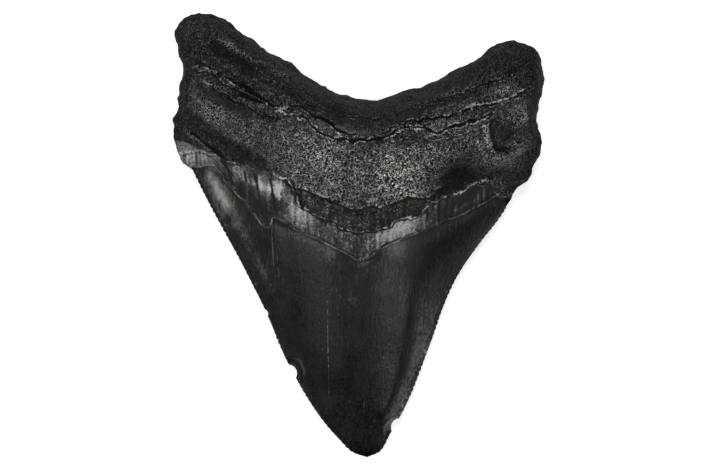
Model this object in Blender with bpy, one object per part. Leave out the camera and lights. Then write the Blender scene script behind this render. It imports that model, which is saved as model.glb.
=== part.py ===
"""A fossil megalodon tooth, lying on its flat outer face with its domed inner face up.

The crown points along -Y and the root's two lobes along +Y. The solid is two sheets that share one
outline. Each starts as flat triangles inside the outline, and takes its heights from the wedge of the
crown, the swell of the root and the marks on both.
"""

import bpy
import numpy as np
from mathutils import Vector, noise
from mathutils.geometry import delaunay_2d_cdt

MM = 0.001  # every length below is in millimetres, and the mesh is scaled by this at the end

# ---- Driving dimensions ----

TIP = (1.2, -34.6)
CROWN_BASE = (0.5, -3.6)  # the bottom of the V where enamel meets bourlette
CROWN_RISE = 8.0  # of the inner face above the cutting edges, at CROWN_BASE
CROWN_TAPER = 0.8  # the rise grows with this power of the distance from the tip
FLANK_POWER = (1.35, 0.85)  # hollow flanks towards the tip, full ones at the base
EDGE_HEIGHT = 2.4  # of the cutting edges above the resting plane
ROOT_EDGE_HEIGHT = 5.2  # of the root's widest line above the resting plane
BEVEL_WIDTH, BEVEL_RISE = 0.7, 0.25  # along each cutting edge
SERRATION_PITCH, SERRATION_DEPTH = 0.85, 0.2
ENAMEL_STEP, ENAMEL_LIP = 0.25, 0.15  # the enamel stands this much above the bourlette
CRUST_STEP = 0.35  # the root's flaky lower layer stands this much above the bourlette
ARCH_ROUNDING, SIDE_ROUNDING, OUTER_ROUNDING = 7.0, 4.5, 5.0  # from the root's outline inwards
ARCH_POWER, ROUND_POWER = 1.5, 2.0  # the face over the arch is nearly straight, the others are round
LEAST_THICKNESS = 0.35  # a millimetre inside the cutting edges, also in a chip

# ---- Outline, anticlockwise from the tip ----

RIGHT_EDGE = [
    TIP, (3.1, -33.8), (4.8, -31.0), (7.6, -25.7), (10.7, -17.8), (13.1, -11.2),
    (14.9, -7.2), (19.0, -0.9), (21.6, 2.4), (23.0, 4.5),
]  # fmt: skip
RIGHT_SIDE = [
    (23.0, 4.5), (23.7, 6.0), (24.4, 7.2), (26.0, 8.4), (27.2, 10.8), (28.2, 13.4), (28.1, 14.8),
    (27.6, 16.0), (27.5, 18.8), (28.4, 21.6), (28.8, 24.1), (28.5, 26.1), (27.0, 29.0), (24.0, 30.2),
]  # fmt: skip
ARCH = [
    (24.0, 30.2), (20.9, 29.5), (19.0, 28.2), (16.5, 26.8), (11.5, 24.0), (6.5, 22.1), (1.2, 21.0), (-2.3, 21.8),
    (-7.0, 24.2), (-11.0, 27.0), (-14.8, 29.2), (-18.5, 31.8), (-21.0, 33.7), (-24.8, 34.6),
]  # fmt: skip
LEFT_SIDE = [
    (-24.8, 34.6), (-27.1, 33.8), (-28.4, 32.0), (-28.1, 29.1), (-27.2, 26.0), (-28.1, 22.5),
    (-28.4, 20.0), (-28.8, 17.8), (-28.8, 15.9), (-28.4, 14.0), (-27.4, 11.3), (-26.0, 10.3),
]  # fmt: skip
LEFT_EDGE = [
    (-26.0, 10.3), (-24.2, 6.6), (-18.2, -4.7), (-14.9, -11.2), (-11.3, -19.6), (-8.7, -24.4),
    (-4.8, -30.0), (-3.0, -32.0), (-1.1, -33.8), TIP,
]  # fmt: skip

# Chips in the cutting edges: the middle of the bite, its radius, and the dish that it leaves inside.
CHIPS = [((-10.9, -21.4), 1.45, 3.1), ((6.4, -29.9), 1.45, 2.7), ((-15.0, -12.2), 0.75, 1.2)]
CHIP_DEPTH = 0.9

# ---- Lines on the inner face ----

ENAMEL_LINE = [
    (-30.0, 12.0), (-25.8, 10.6), (-23.0, 10.9), (-20.3, 7.9), (-17.3, 4.9), (-13.9, 1.3), (-13.3, 2.8),
    (-9.4, 0.8), (-6.3, -0.5), (-2.4, -1.7), (0.5, -3.6), (3.9, -1.7), (8.6, 0.4), (10.6, 1.1), (13.3, 2.7),
    (15.0, 2.7), (20.4, 5.1), (21.7, 6.6), (26.0, 6.0),
]  # fmt: skip
CRUST_LINE = [
    (-28.0, 12.6), (-24.5, 13.0), (-20.3, 11.4), (-15.5, 9.9), (-11.0, 8.2), (-9.4, 5.0), (-7.4, 3.4),
    (-4.0, 2.0), (-0.9, 0.6), (2.0, 0.8), (4.8, 1.6), (7.0, 2.9), (9.1, 3.4), (12.0, 5.6), (15.0, 6.1),
    (18.4, 7.4), (20.2, 8.4), (26.5, 8.2),
]  # fmt: skip
LEDGE = [
    (-25.5, 26.1), (-24.0, 26.6), (-20.3, 24.1), (-15.3, 20.6), (-13.0, 19.4), (-9.8, 19.4), (-7.8, 17.7),
    (-6.3, 15.4), (-2.8, 14.5), (2.6, 14.5), (5.4, 15.9), (8.5, 16.7), (14.3, 17.0), (15.8, 18.1),
    (18.3, 18.9), (20.9, 18.3),
]  # fmt: skip
LEFT_SEAM = [(-13.3, 19.9), (-10.3, 19.8), (-7.1, 18.7), (-3.8, 16.9)]
RIGHT_SEAM = [
    (3.4, 16.3), (6.3, 16.9), (7.6, 17.7), (11.1, 18.1), (13.8, 18.1), (16.1, 19.4), (19.0, 19.8), (25.2, 22.2),
]  # fmt: skip
LOBE_TROUGH = [(-22.0, 29.8), (-18.3, 26.9)]
SHOULDER_TROUGH = [(-26.0, 18.1), (-24.5, 16.4), (-22.3, 13.7), (-20.3, 11.6)]
CRACK = [(-13.4, 2.6), (-13.3, -4.4), (-12.4, -9.5)]

# Each groove: its line, its width, its depth, and the height of the lip on its lower side.
GROOVES = [
    (LEDGE, 1.1, 0.60, 0.25),
    (LEFT_SEAM, 0.9, 0.30, 0.00),
    (RIGHT_SEAM, 1.1, 0.45, 0.20),
    (LOBE_TROUGH, 2.0, 0.45, 0.00),
    (SHOULDER_TROUGH, 1.3, 0.50, 0.25),
    (CRACK, 0.4, 0.08, 0.00),
]

# Round hollows and knobs on the root: middle, radius, depth (below zero is a knob).
HOLLOWS = [
    ((22.1, 15.3), 1.7, 0.6), ((15.1, 10.0), 3.2, 0.6), ((10.7, 16.2), 0.9, -0.3), ((-3.0, 18.6), 1.2, 0.3),
]  # fmt: skip

# ---- Heights above the resting plane, as (x, y, z) ----

ROOT_INNER = [
    (-26.0, 29.0, 8.8), (-24.0, 26.5, 10.2), (-20.0, 24.0, 11.6), (-15.0, 20.8, 13.0), (-10.0, 18.2, 14.3),
    (-5.0, 15.5, 15.4), (0.0, 14.6, 15.9), (5.0, 15.2, 15.6), (10.0, 17.2, 14.4), (15.0, 18.7, 13.0),
    (20.0, 20.5, 11.6), (24.5, 23.0, 10.2), (-20.0, 30.0, 10.8), (-12.0, 25.0, 13.0), (0.0, 19.5, 15.2),
    (10.0, 21.5, 13.8), (20.0, 26.0, 10.8), (-24.5, 17.5, 9.8), (-18.0, 14.0, 11.7), (-12.0, 12.0, 13.3),
    (-6.0, 9.0, 14.2), (0.0, 8.0, 14.6), (6.0, 8.5, 14.3), (12.0, 11.0, 13.1), (18.0, 13.0, 11.5),
    (24.0, 15.0, 10.0), (-12.0, 5.5, 11.9), (-6.0, 3.0, 12.7), (0.5, 0.5, 12.3), (6.0, 3.0, 12.5),
    (12.0, 5.5, 11.7), (17.5, 7.5, 9.8), (-24.8, 13.2, 7.4), (23.5, 9.5, 7.6),
]  # fmt: skip
OUTER_FACE = [
    (-22.0, 25.0, 0.0), (22.0, 21.5, 0.0), (0.5, -12.0, 0.0), (0.0, 18.0, 1.8), (-12.0, 21.0, 0.9),
    (12.0, 19.5, 0.9), (0.0, 10.5, 1.1), (-14.0, 11.5, 1.0), (14.0, 10.5, 1.0), (0.5, 2.0, 0.5),
    (-9.0, 2.0, 0.6), (9.0, 2.0, 0.6), (-23.0, 15.0, 0.8), (23.0, 13.5, 0.8), (0.8, -24.0, 0.35), (1.2, -33.0, 0.9),
]  # fmt: skip
OUTER_ENAMEL_LINE = [
    (-30.0, 10.5), (-20.0, 12.8), (-8.0, 11.0), (0.0, 9.6), (9.0, 11.0), (19.0, 12.2), (27.0, 6.5),
]  # fmt: skip

# ---- Lumps, as wavelength and height ----

ROOT_LUMPS = [(5.0, 0.45), (1.9, 0.22)]
CROWN_LUMPS = [(9.0, 0.12)]

# ---- Mesh ----

ROOT_SPACING = 0.8  # of the points along the root's outline
INNER_SPACING, OUTER_SPACING = 1.04, 1.9  # of the points across each sheet
CROWN_RINGS, ROOT_RINGS = (0.42, 0.95), (0.15, 0.55, 1.2)  # rows just inside the outline
INNER_DETAIL = [(LEDGE, 0.6), (RIGHT_SEAM, 0.6), (ENAMEL_LINE, 0.35), (CRUST_LINE, 0.35)]  # each with its reach
OUTER_DETAIL = [(OUTER_ENAMEL_LINE, 0.35)]
DETAIL_SPACING = 0.7  # of the points along these lines
LINE_STEP = 0.5  # of the points that distances are measured to


def evenly(line, step):
    """The line again, its points about `step` apart."""
    along = np.r_[0, np.cumsum(np.linalg.norm(np.diff(line, axis=0), axis=1))]
    stations = np.linspace(0, along[-1], max(2, round(along[-1] / step) + 1))
    return np.stack([np.interp(stations, along, axis) for axis in line.T], axis=1)


def curve_through(points, step):
    """A smooth curve through the points, as points about `step` apart."""
    points = np.array(points, float)
    knots = np.r_[0, np.cumsum(np.linalg.norm(np.diff(points, axis=0), axis=1))]
    slopes = np.gradient(points, knots, axis=0)
    stations = np.linspace(0, knots[-1], int(knots[-1] / step) * 8)
    left = np.clip(np.searchsorted(knots, stations, "right") - 1, 0, len(knots) - 2)
    span = (knots[left + 1] - knots[left])[:, None]
    u = (stations - knots[left])[:, None] / span
    places = (1 + 2 * u) * (1 - u) ** 2 * points[left] + u**2 * (3 - 2 * u) * points[left + 1]
    bends = u * (1 - u) ** 2 * slopes[left] + u**2 * (u - 1) * slopes[left + 1]
    return evenly(places + span * bends, step)


def nearest(points, line):
    """Each point's distance to the line, above zero on its left side and below zero on its right."""
    best = np.full(len(points), np.inf)
    side = np.ones(len(points))
    for start, run in zip(line[:-1], np.diff(line, axis=0)):
        offset = points - start
        gap = offset - np.clip(offset @ run / (run @ run), 0, 1)[:, None] * run
        distance = np.hypot(*gap.T)
        closer = distance < best
        best[closer] = distance[closer]
        side[closer] = np.sign(run[0] * offset[closer, 1] - run[1] * offset[closer, 0])
    return best * side


def smoothstep(values, low, high):
    share = np.clip((values - low) / (high - low), 0, 1)
    return share * share * (3 - 2 * share)


def rounded(share, power):
    """Rises steeply from 0 and levels out at 1: a quarter circle at power 2, a chamfer at power 1."""
    return (1 - (1 - np.clip(share, 0, 1)) ** power) ** (1 / power)


def surface_through(spots, points):
    """Heights at the points of a thin plate bent through the spots."""
    spots = np.array(spots, float)
    places, heights = spots[:, :2], spots[:, 2]

    def bend(here):
        squared = ((here[:, None] - places) ** 2).sum(axis=2)
        return squared * np.log(np.maximum(squared, 1e-12))

    def plane(here):
        return np.c_[np.ones(len(here)), here]

    system = np.block([[bend(places), plane(places)], [plane(places).T, np.zeros((3, 3))]])
    weights = np.linalg.solve(system, np.r_[heights, 0, 0, 0])
    return np.hstack([bend(points), plane(points)]) @ weights


def outward_of(line):
    """Unit normals that point out of an outline which runs anticlockwise."""
    run = np.gradient(line, axis=0)
    return np.c_[run[:, 1], -run[:, 0]] / np.hypot(*run.T)[:, None]


def serrated(edge):
    """The cutting edge with its small teeth, which stop at a chip."""
    edge = evenly(edge, SERRATION_PITCH / 2)
    wave = np.arange(len(edge)) % 2 - 0.5
    for middle, radius, _ in CHIPS:
        wave *= smoothstep(np.hypot(*(edge - middle).T), radius, radius + SERRATION_PITCH)
    wave[[0, -1]] = 0
    return edge + SERRATION_DEPTH * wave[:, None] * outward_of(edge)


def chipped(outline):
    """The outline with each chip bitten out of it."""
    outline = outline.copy()
    for middle, radius, _ in CHIPS:
        offset = outline - middle
        distance = np.hypot(*offset.T)
        bitten = distance < radius
        inward = -outward_of(outline)[bitten].mean(axis=0)
        reach = offset[bitten] - (offset[bitten] @ inward)[:, None] * inward
        depth = np.sqrt(np.maximum(radius**2 - (reach**2).sum(axis=1), 0))
        outline[bitten] = middle + reach + depth[:, None] * inward
    return outline


EDGES = [curve_through(line, LINE_STEP) for line in (RIGHT_EDGE, LEFT_EDGE)]
SIDES = [curve_through(line, LINE_STEP) for line in (RIGHT_SIDE, LEFT_SIDE)]
ARCH_CURVE = curve_through(ARCH, LINE_STEP)


def outline_points():
    """The outline's points, how much of the root's shape each has, and its outward normals."""
    right_edge, left_edge = (serrated(edge) for edge in EDGES)
    right_side, left_side = (evenly(side, ROOT_SPACING) for side in SIDES)
    arch = evenly(ARCH_CURVE, ROOT_SPACING)
    runs = [line[:-1] for line in (right_edge, right_side, arch, left_side, left_edge)]
    outline = chipped(np.concatenate(runs))
    is_root = np.concatenate([np.full(len(run), 0 < place < 4) for place, run in enumerate(runs)])
    return outline, is_root, outward_of(outline)


def inside(points, outline):
    """Which points lie inside the closed outline."""
    crossings = np.zeros(len(points), int)
    for (x0, y0), (x1, y1) in zip(outline, np.roll(outline, -1, axis=0)):
        if y0 != y1:
            spans = (points[:, 1] > min(y0, y1)) & (points[:, 1] <= max(y0, y1))
            crossings += spans & (points[:, 0] < x0 + (points[:, 1] - y0) * (x1 - x0) / (y1 - y0))
    return crossings % 2 == 1


def grid(low, high, spacing):
    """Staggered rows of points over a rectangle."""
    rows = np.arange(low[1], high[1], spacing * np.sqrt(0.75))
    columns = np.arange(low[0], high[0], spacing)
    points = [np.c_[columns + row % 2 * spacing / 2, np.full(len(columns), y)] for row, y in enumerate(rows)]
    return np.concatenate(points)


def kept_apart(layers, cell):
    """The points of all layers, less those nearer than their layer's gap to one taken before them."""
    taken, bins = [], {}
    for points, gap in layers:
        for x, y in points.tolist():
            home = (int(x // cell), int(y // cell))
            around = (bins.get((home[0] + i, home[1] + j), ()) for i in (-1, 0, 1) for j in (-1, 0, 1))
            if all((x - a) ** 2 + (y - b) ** 2 >= gap * gap for near in around for a, b in near):
                bins.setdefault(home, []).append((x, y))
                taken.append((x, y))
    return np.array(taken)


def flat_sheet(outline, is_root, outward, spacing, details):
    """Points and triangles that fill the outline, its own points first."""
    layers = [(outline, 0)]
    for rings, chosen in ((CROWN_RINGS, ~is_root), (ROOT_RINGS, is_root)):
        for distance in rings:
            layers.append((outline[chosen] - distance * outward[chosen], 0.7 * min(distance, ROOT_SPACING)))
    for line, reach in details:
        curve = curve_through(line, DETAIL_SPACING)
        layers += [(curve + side * reach * outward_of(curve), 0.4 * DETAIL_SPACING) for side in (0, 1, -1)]
    layers.append((grid(outline.min(axis=0), outline.max(axis=0), spacing), 0.62 * spacing))
    layers[1:] = [(points[inside(points, outline)], gap) for points, gap in layers[1:]]
    points = kept_apart(layers, spacing)
    loop = list(range(len(outline)))
    found = delaunay_2d_cdt([Vector(point) for point in points], [], [loop], 1, 1e-7)
    return points, found[2]


def lie_of(points):
    """Distances that the heights are worked out from."""
    right, left = (np.abs(nearest(points, edge)) + 1e-6 for edge in EDGES)
    side = np.minimum(*(np.abs(nearest(points, line)) for line in SIDES)) + 1e-6
    arch = np.abs(nearest(points, ARCH_CURVE)) + 1e-6
    enamel = nearest(points, curve_through(ENAMEL_LINE, LINE_STEP))
    return {
        "crown": 4 * left * right / (left + right) ** 2,  # 0 on the cutting edges, 1 midway between them
        "edge": np.minimum(left, right),
        "rim": (side**-4 + arch**-4) ** -0.25,
        "arch_share": side / (side + arch),
        "enamel": enamel,
        "outer_enamel": nearest(points, curve_through(OUTER_ENAMEL_LINE, LINE_STEP)),
        "base": EDGE_HEIGHT + (ROOT_EDGE_HEIGHT - EDGE_HEIGHT) * smoothstep(enamel, -1.0, 5.0),
    }


def crown_height(points, lie):
    """The wedge of the crown: domed between the cutting edges, and thicker towards the root."""
    length = CROWN_BASE[1] - TIP[1]
    share = np.maximum(points[:, 1] - TIP[1], 0) / length
    power = np.interp(share, (0.35, 1.1), FLANK_POWER)
    rise = CROWN_RISE * share**CROWN_TAPER * lie["crown"] ** power
    return EDGE_HEIGHT + rise + BEVEL_RISE * smoothstep(lie["edge"], 0, BEVEL_WIDTH)


def outer_height(points, lie):
    """The flat face below: a shallow dome under the crown, and a root that touches at both lobes."""
    floor = surface_through(OUTER_FACE, points)
    root = rounded(lie["rim"] / OUTER_ROUNDING, ROUND_POWER)
    is_root = smoothstep(lie["enamel"], -1.0, 6.0)
    rise = is_root * root + (1 - is_root) * lie["crown"] ** 0.8
    seam = lie["outer_enamel"]
    step = ENAMEL_STEP * smoothstep(seam, -0.2, 0.2) * smoothstep(lie["rim"], 0.5, 2.0)
    return lie["base"] * (1 - rise) + floor * rise + step


def groove_depth(points, line, width, depth, lip):
    """A groove along the line, which shallows out at its ends, with a lip on its lower side."""
    curve = curve_through(line, LINE_STEP)
    distance = nearest(points, curve)
    ends = np.minimum(*(np.hypot(*(points - end).T) for end in (curve[0], curve[-1])))
    cut = depth * np.exp(-((distance / (width / 2)) ** 2))
    raised = lip * np.exp(-(((distance + width) / (width / 2)) ** 2))
    return (cut - raised) * smoothstep(ends, 0, 2 * width)


def inner_height(points, lie):
    """The domed face above: crown, root and the marks on both."""
    crown_side = np.array(ENAMEL_LINE[1:-1])
    seam_spots = np.c_[crown_side, crown_height(crown_side, lie_of(crown_side))]
    root = surface_through(ROOT_INNER + seam_spots[::2].tolist(), points)
    is_root = smoothstep(lie["enamel"], -1.2, 1.2)
    rounding = SIDE_ROUNDING + (ARCH_ROUNDING - SIDE_ROUNDING) * lie["arch_share"]
    power = ROUND_POWER + (ARCH_POWER - ROUND_POWER) * lie["arch_share"]
    root = lie["base"] + (root - lie["base"]) * rounded(lie["rim"] / rounding, power)
    height = crown_height(points, lie) * (1 - is_root) + root * is_root

    enamel, crust = lie["enamel"], nearest(points, curve_through(CRUST_LINE, LINE_STEP))
    clear = smoothstep(np.minimum(lie["rim"], 9), 0.3, 2.0) * smoothstep(lie["edge"], 0.0, 1.0)
    marks = ENAMEL_LIP * np.exp(-(((enamel + 0.45) / 0.35) ** 2)) - ENAMEL_STEP * smoothstep(enamel, -0.25, 0.15)
    marks += (CRUST_STEP + ENAMEL_STEP) * smoothstep(crust, -0.2, 0.25)
    for groove in GROOVES:
        marks -= groove_depth(points, *groove)
    for middle, radius, depth in HOLLOWS:
        marks -= depth * np.exp(-((np.hypot(*(points - middle).T) / radius) ** 2))
    height += marks * clear
    for middle, bite, dish in CHIPS:
        height -= CHIP_DEPTH * (1 - smoothstep(np.hypot(*(points - middle).T), bite, dish))
    return height


def lumped(points, normals, is_root):
    """The points moved along their normals by smooth uneven lumps."""
    moved = points.copy()
    for lumps, share in ((ROOT_LUMPS, is_root), (CROWN_LUMPS, 1 - is_root)):
        for wavelength, height in lumps:
            swell = np.array([noise.noise(point) for point in (points / wavelength).tolist()])
            moved += (height * share * swell)[:, None] * normals
    return moved


def solid_of(upper, lower, rim_count):
    """One closed mesh of two sheets that share their first `rim_count` points."""
    points = np.concatenate([upper[0], lower[0][rim_count:]])
    shift = len(upper[0]) - rim_count
    renumbered = [[k if k < rim_count else k + shift for k in face] for face in lower[1]]
    mesh = bpy.data.meshes.new("tooth")
    mesh.from_pydata(points.tolist(), [], upper[1] + [face[::-1] for face in renumbered])
    return mesh, points


def tooth_mesh():
    outline, is_root, outward = outline_points()
    upper, upper_faces = flat_sheet(outline, is_root, outward, INNER_SPACING, INNER_DETAIL)
    lower, lower_faces = flat_sheet(outline, is_root, outward, OUTER_SPACING, OUTER_DETAIL)
    upper_lie, lower_lie = lie_of(upper), lie_of(lower)
    rim = len(outline)

    below = outer_height(upper, upper_lie)
    heights = inner_height(upper, upper_lie)
    heights = np.maximum(heights, below + LEAST_THICKNESS * np.minimum(upper_lie["edge"], 1))
    heights[:rim] = upper_lie["base"][:rim]
    sheets = (np.c_[upper, heights], upper_faces), (np.c_[lower, outer_height(lower, lower_lie)], lower_faces)
    mesh, points = solid_of(*sheets, rim)

    normals = np.empty(len(points) * 3, np.float32)
    mesh.vertices.foreach_get("normal", normals)
    share = np.r_[smoothstep(upper_lie["enamel"], 0, 3), smoothstep(lower_lie["outer_enamel"], 0, 3)[rim:]]
    points = lumped(points, normals.reshape(-1, 3), share)
    points -= [*(points[:, :2].min(axis=0) + points[:, :2].max(axis=0)) / 2, points[:, 2].min()]
    mesh.vertices.foreach_set("co", (points * MM).ravel())
    mesh.update()
    return mesh


def fossil_material():
    """Enamel and root alike are black, and satin where they are worn smooth."""
    material = bpy.data.materials.new("fossil tooth")
    material.use_nodes = True
    shader = material.node_tree.nodes["Principled BSDF"]
    shader.inputs["Base Color"].default_value = (0.018, 0.018, 0.017, 1)
    shader.inputs["Roughness"].default_value = 0.35
    shader.inputs["Metallic"].default_value = 0.0
    return material


for old in list(bpy.data.objects):
    bpy.data.objects.remove(old)

tooth = bpy.data.objects.new("tooth", tooth_mesh())
tooth.data.materials.append(fossil_material())
tooth.data.shade_smooth()
parts = bpy.data.collections.new("Megalodon tooth")
bpy.context.scene.collection.children.link(parts)
parts.objects.link(tooth)
print(len(tooth.data.polygons), "triangles")
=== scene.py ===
# A fossil megalodon tooth, black all through, lying on a white table in soft studio light.
# It is modelled as one closed mesh of two sheets, in millimetres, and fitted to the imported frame.

import math

import bpy
import numpy as np
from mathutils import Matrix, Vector, kdtree, noise
from mathutils.geometry import delaunay_2d_cdt


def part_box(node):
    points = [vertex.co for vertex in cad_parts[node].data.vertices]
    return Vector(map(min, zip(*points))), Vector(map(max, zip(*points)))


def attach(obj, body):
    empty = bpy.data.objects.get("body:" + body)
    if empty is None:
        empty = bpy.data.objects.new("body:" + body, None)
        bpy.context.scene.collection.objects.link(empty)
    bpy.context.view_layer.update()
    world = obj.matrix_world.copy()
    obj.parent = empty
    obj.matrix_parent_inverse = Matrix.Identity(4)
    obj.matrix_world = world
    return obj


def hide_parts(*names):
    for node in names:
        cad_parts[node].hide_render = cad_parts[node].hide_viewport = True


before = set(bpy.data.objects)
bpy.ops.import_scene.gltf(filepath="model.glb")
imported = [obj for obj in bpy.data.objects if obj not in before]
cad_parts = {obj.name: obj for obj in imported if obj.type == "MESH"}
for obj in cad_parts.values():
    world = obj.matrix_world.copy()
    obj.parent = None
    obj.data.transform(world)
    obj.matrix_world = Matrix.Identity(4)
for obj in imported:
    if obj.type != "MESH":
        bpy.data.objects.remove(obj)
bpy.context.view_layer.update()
toothLow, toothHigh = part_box("tooth")
mm = 0.001
print("frame loaded")

# The outline, anticlockwise from the tip. X runs across the tooth, Y from its tip to its root.
outline = {
    "tip": (1.2, -34.6),
    "rightEdge": [
        (1.2, -34.6), (3.1, -33.8), (4.8, -31.0), (7.6, -25.7), (10.7, -17.8), (13.1, -11.2),
        (14.9, -7.2), (19.0, -0.9), (21.6, 2.4), (23.0, 4.5),
    ],
    "rightSide": [
        (23.0, 4.5), (23.7, 6.0), (24.4, 7.2), (26.0, 8.4), (27.2, 10.8), (28.2, 13.4), (28.1, 14.8),
        (27.6, 16.0), (27.5, 18.8), (28.4, 21.6), (28.8, 24.1), (28.5, 26.1), (27.0, 29.0), (24.0, 30.2),
    ],
    "arch": [
        (24.0, 30.2), (20.9, 29.5), (19.0, 28.2), (16.5, 26.8), (11.5, 24.0), (6.5, 22.1), (1.2, 21.0),
        (-2.3, 21.8), (-7.0, 24.2), (-11.0, 27.0), (-14.8, 29.2), (-18.5, 31.8), (-21.0, 33.7), (-24.8, 34.6),
    ],
    "leftSide": [
        (-24.8, 34.6), (-27.1, 33.8), (-28.4, 32.0), (-28.1, 29.1), (-27.2, 26.0), (-28.1, 22.5),
        (-28.4, 20.0), (-28.8, 17.8), (-28.8, 15.9), (-28.4, 14.0), (-27.4, 11.3), (-26.0, 10.3),
    ],
    "leftEdge": [
        (-26.0, 10.3), (-24.2, 6.6), (-18.2, -4.7), (-14.9, -11.2), (-11.3, -19.6), (-8.7, -24.4),
        (-4.8, -30.0), (-3.0, -32.0), (-1.1, -33.8), (1.2, -34.6),
    ],
    "serrationPitch": 0.85,
    "serrationDepth": 0.13,
    # how much is left of each serration: on average, how that varies, over what length, and the noise's seed
    "serrationWear": (0.6, 1.3, 2.5, 0.0),
    "rootRipples": [(1.6, 0.16), (0.6, 0.08)],  # length and width of the ripples along the root's outline
    # each bite's middle and radius, then the middle and radius of the scar beside it, and how much lighter
    # that scar is painted, a painted reflection on its face
    "chips": [
        ((-11.1, -21.5), 1.35, (-10.6, -21.2), 2.2, 0.0), ((6.4, -29.9), 1.45, (5.9, -30.3), 2.0, 0.5),
        ((-15.0, -12.2), 0.75, (-15.0, -12.2), 1.2, 0.1),
    ],
    "chipRagged": (0.8, 0.25),  # length and width of the bends in a bite's border
}

crown = {
    "base": (0.5, -3.6),  # the bottom of the V where enamel meets bourlette
    "rise": 8.0,  # of the inner face above the cutting edges, at the base
    "arching": (1.35, 1.12),  # how the ridge bends from tip to base: its power, and where it levels off
    "leftFlank": (1.5, 1.15),  # powers towards the tip and at the base: over 1 the flank is hollow
    "rightFlank": (1.3, 1.0),
    "flankReach": (0.35, 1.1),  # where those two powers hold, as shares of the way from tip to base
    "flankChange": (0.35, 0.65),  # where the left flank turns into the right one, as shares of the width
    # the steep facet along the right edge: its inner border, and its slope
    "facet": [(9.9, -6.5), (9.45, -8.1), (8.6, -13.9), (7.4, -20.1), (5.9, -23.8), (4.3, -27.3)],
    "facetSlope": 0.9,
    "facetLift": (2.8, 0.6),  # how wide and how high the face swells along that border
    "facetSoft": 0.12,  # over which the facet rounds into the face
    "facetDown": (4.0, 13.0),  # how far below Y = 0 the facet starts, and is full
    "facetAcross": (0.0, 3.0),  # and the same to the right of X = 0
    "edgeHeight": 2.4,
    "bevelWidth": 0.7,
    "bevelRise": 0.08,
    "outerPower": 0.8,  # how fast the outer face falls from the cutting edges to the table
    "lumps": [(9.0, 0.12)],  # wavelength and height
    "leastThickness": 0.35,
}

root = {
    "edgeHeight": 5.2,
    "archRounding": 7.0,
    "sideRounding": 4.5,
    "outerRounding": 5.0,
    "archPower": 1.5,  # the face over the arch is nearly straight
    "roundPower": 2.0,
    # how far below and above the enamel line crown turns into root
    "edgeBlend": (-1.0, 5.0),
    "innerBlend": (-1.2, 1.2),
    "outerBlend": (-1.0, 6.0),
    # spot heights of the inner face, as (x, y, z)
    "inner": [
        (-26.0, 29.0, 8.8), (-24.0, 26.5, 10.2), (-20.0, 24.0, 11.6), (-15.0, 20.8, 13.0),
        (-10.0, 18.2, 14.3), (-5.0, 15.5, 15.4), (0.0, 14.6, 15.9), (5.0, 15.2, 15.6), (10.0, 17.2, 14.4),
        (15.0, 18.7, 13.0), (20.0, 20.5, 11.6), (24.5, 23.0, 10.2), (-20.0, 30.0, 10.8),
        (-12.0, 25.0, 13.0), (0.0, 19.5, 15.2), (10.0, 21.5, 13.8), (20.0, 26.0, 10.8),
        (-24.5, 17.5, 9.8), (-18.0, 14.0, 11.7), (-12.0, 12.0, 13.3), (-6.0, 9.0, 14.2), (0.0, 8.0, 14.6),
        (6.0, 8.5, 14.3), (12.0, 11.0, 13.1), (18.0, 13.0, 11.5), (24.0, 15.0, 10.0), (-12.0, 5.5, 11.9),
        (-6.0, 3.0, 12.7), (0.5, 0.5, 12.3), (6.0, 3.0, 12.5), (12.0, 5.5, 11.7), (17.5, 7.5, 9.8),
        (-24.8, 13.2, 7.4), (23.5, 9.5, 7.6),
    ],
    # and of the outer face, which touches the table under both lobes and under the crown
    "outer": [
        (-22.0, 25.0, 0.0), (22.0, 21.5, 0.0), (0.5, -12.0, 0.0), (0.0, 18.0, 1.8), (-12.0, 21.0, 0.9),
        (12.0, 19.5, 0.9), (0.0, 10.5, 1.1), (-14.0, 11.5, 1.0), (14.0, 10.5, 1.0), (0.5, 2.0, 0.5),
        (-9.0, 2.0, 0.6), (9.0, 2.0, 0.6), (-23.0, 15.0, 0.8), (23.0, 13.5, 0.8), (0.8, -24.0, 0.35),
        (1.2, -33.0, 0.9),
    ],
    "lumps": [(5.0, 0.45), (1.9, 0.22)],  # wavelength and height
    "lumpsFade": 3.0,  # how far above the enamel line they reach full height
    "ridges": [(1.7, 0.14, 0.5), (0.9, 0.10, 0.5)],  # wavelength, height, and share of the painted glints on their crests
    "ridgeWidth": 0.28,  # as a share of the noise that they are folded from
    "ridgeMiddle": 0.4,  # the part of a ridge that sinks below the face
    "ridgesFade": (0.5, 1.0),  # how far above the crust's edge and the outer enamel line they are full
    "dullRidges": 0.4,  # how much of their height is left where the root is dull and not painted lighter
    "layers": (1.1, 7.0, 0.22),  # long folds that follow the arch: their width, length and height
    # how strongly the pits show, how glossy the root is, how much lighter it is painted as highlights or
    # darker as shade, and where: (x, y, radius, amount)
    "plain": 0.15,
    "glossAndPaintedLight": [
        (5.6, 8.8, 3.7, 1.15), (10.5, 12.5, 3.0, 0.3), (-6.0, 11.0, 6.5, 0.58), (-18.0, 18.0, 4.5, 0.2),
        (15.0, 14.0, 5.0, 0.60), (24.0, 12.5, 3.0, 0.25), (22.0, 21.9, 2.0, 0.4), (24.9, 18.5, 1.8, 0.5),
        (15.1, 9.2, 3.0, -0.40), (-26.5, 16.0, 2.5, -0.1), (0.0, 3.0, 5.0, 0.12), (-24.5, 22.0, 2.5, 0.25),
        (-22.5, 18.8, 2.0, 0.35), (23.0, 27.0, 4.5, -0.10), (13.0, 22.5, 4.0, -0.06),
    ],
    "glossAndPaintedLightRange": (0.06, 1.2),
    "grooveCalm": 0.6,  # how much of it a groove takes away
    "steepness": (0.45, 0.9),  # steep sides, whose normal has less than this height, are painted darker as shade, and are duller
}

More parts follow.
